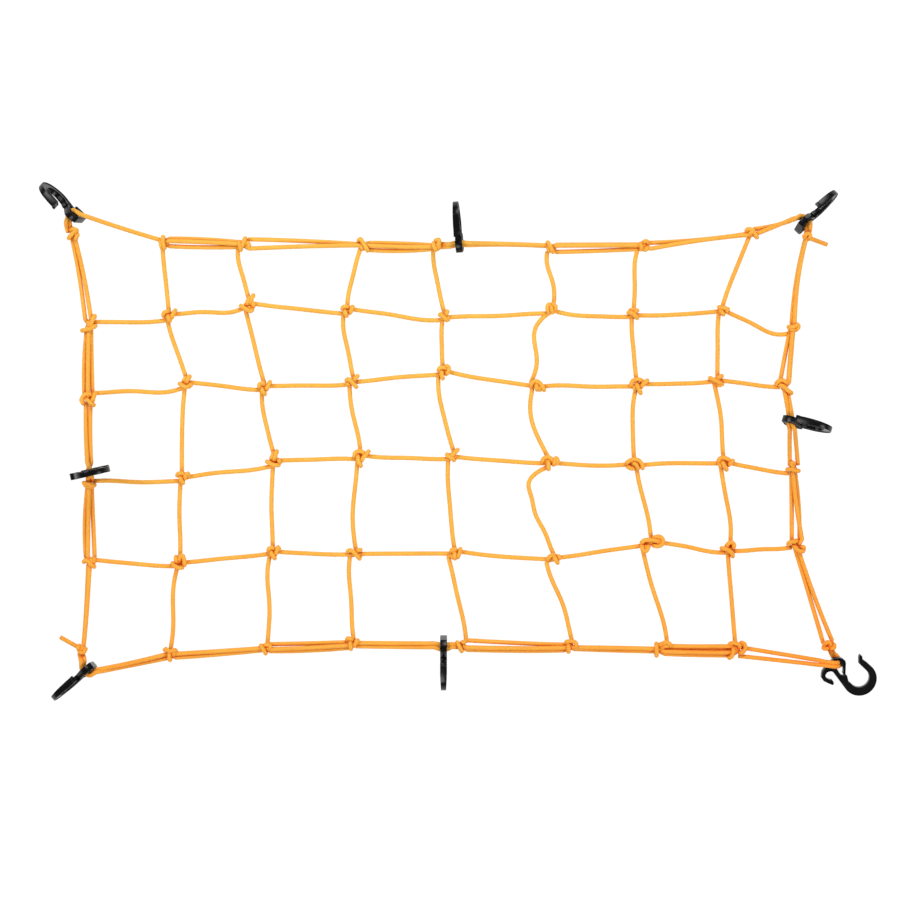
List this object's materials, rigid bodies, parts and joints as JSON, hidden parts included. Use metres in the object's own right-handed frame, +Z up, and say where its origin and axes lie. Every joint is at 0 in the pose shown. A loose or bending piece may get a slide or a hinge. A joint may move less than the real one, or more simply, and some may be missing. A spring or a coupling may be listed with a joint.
{
  "type": "cargo net",
  "caption": "Flat elastic cargo net: knotted orange cord mesh in a doubled border cord, with black plastic hooks at its corners and mid-sides.",
  "frame": {"origin": "on the surface that the net lies on, under the middle of its widest extents", "axes": "+X to the right along the net's long side as in the picture, +Y to its top edge, +Z up from the surface"},
  "size_m": [0.8326, 0.5154, 0.0557],
  "materials": {
    "orange_cord": "braided sheath with a slight sheen",
    "black_plastic": "semi-gloss moulded"
  },
  "bodies": {
    "root": {"border_cord": "orange_cord", "mesh_cord": "orange_cord", "hook_top_left": "black_plastic", "hook_top_middle": "black_plastic", "hook_top_right": "black_plastic", "hook_right_middle": "black_plastic", "hook_bottom_right": "black_plastic", "hook_bottom_middle": "black_plastic", "hook_bottom_left": "black_plastic", "hook_left_middle": "black_plastic"}
  },
  "joints": []
}
